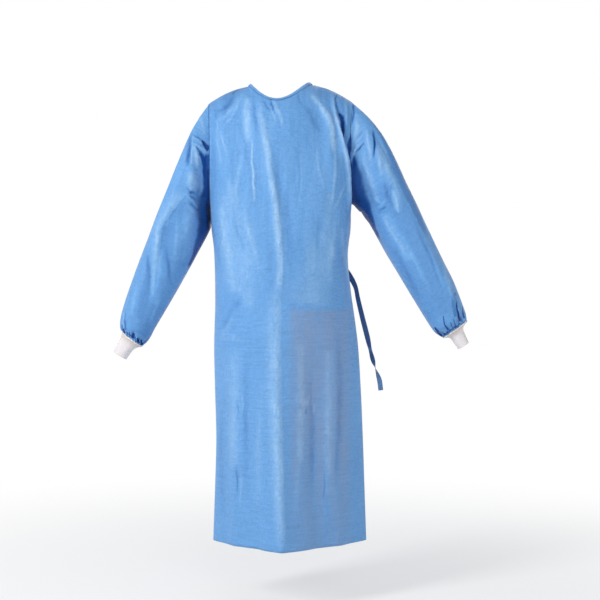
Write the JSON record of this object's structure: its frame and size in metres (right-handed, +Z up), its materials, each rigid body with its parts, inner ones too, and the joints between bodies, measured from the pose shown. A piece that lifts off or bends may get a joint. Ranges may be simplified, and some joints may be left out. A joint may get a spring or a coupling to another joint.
{
  "type": "surgical gown",
  "caption": "Long blue cloth surgical gown, filled out as when worn: round bound neck, set-in sleeves with white piping and knitted cuffs, overlapped back, one side tie.",
  "frame": {"origin": "between the wearer's shoulders, half way up the shoulder seams, where a hanger or a wearer carries the gown", "axes": "+Z up along the wearer's height, front of the gown towards -Y, the wearer's left towards +X"},
  "size_m": [0.9507, 0.298, 1.2343],
  "materials": {
    "front": "plain weave, dyed mid blue, slight sheen",
    "back_left": "plain weave, dyed mid blue, slight sheen",
    "back_right": "plain weave, dyed mid blue, slight sheen",
    "sleeve_left": "plain weave, dyed mid blue, slight sheen",
    "sleeve_right": "plain weave, dyed mid blue, slight sheen",
    "neck_binding": "plain weave, dyed mid blue, slight sheen",
    "waist_tie": "plain weave, dyed mid blue, slight sheen",
    "piping_left": "plain white tape, matt",
    "piping_right": "plain white tape, matt",
    "cuff_left": "fine off-white knit, matt",
    "cuff_right": "fine off-white knit, matt"
  },
  "bodies": {
    "root": {"front": "front", "back_left": "back_left", "back_right": "back_right", "sleeve_left": "sleeve_left", "sleeve_right": "sleeve_right", "neck_binding": "neck_binding", "waist_tie": "waist_tie", "piping_left": "piping_left", "piping_right": "piping_right", "cuff_left": "cuff_left", "cuff_right": "cuff_right"}
  },
  "joints": []
}
